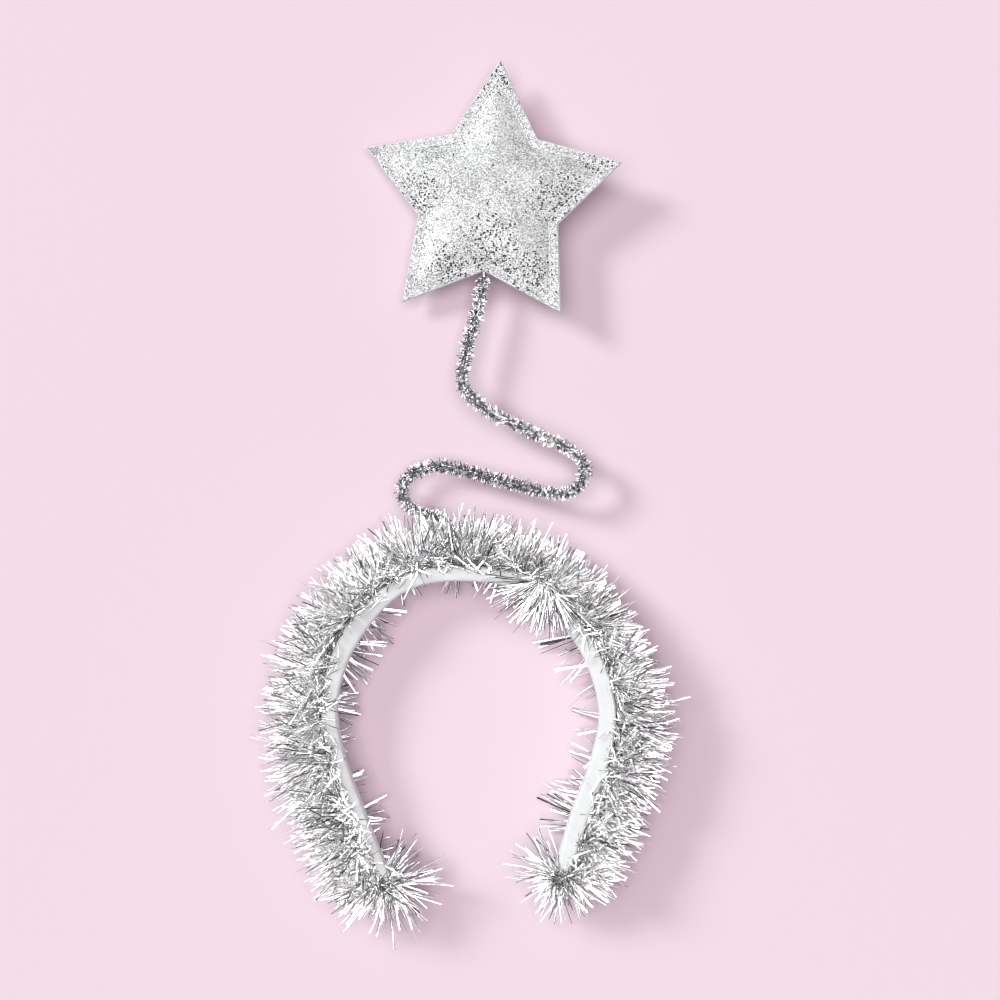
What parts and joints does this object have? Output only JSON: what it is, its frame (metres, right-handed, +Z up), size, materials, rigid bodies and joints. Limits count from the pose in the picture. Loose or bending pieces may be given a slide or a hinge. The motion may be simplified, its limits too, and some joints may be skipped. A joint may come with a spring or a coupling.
{
  "type": "star headband",
  "caption": "Felt-covered hoop headband edged with silver foil tinsel, with a padded glitter star on a bent tinsel wire stem at the crown, lying on its side.",
  "frame": {"origin": "on the surface it lies on, under the middle of the outline", "axes": "+Z up from the surface, +Y from the hoop's open end to the crown and the star, +X to the right seen from above"},
  "size_m": [0.1888, 0.3964, 0.0449],
  "materials": {
    "band_felt": "soft white felt",
    "tinsel_foil": "bright silver foil strips",
    "stem_foil": "short dark silver foil pile on twisted wire",
    "glitter_cloth": "silver glitter on cloth",
    "wadding": "white fibre wadding"
  },
  "bodies": {
    "root": {"headband": "band_felt", "tinsel_garland": "tinsel_foil", "stem": "stem_foil", "star_front": "glitter_cloth", "star_back": "glitter_cloth", "star_padding": "wadding"}
  },
  "joints": []
}
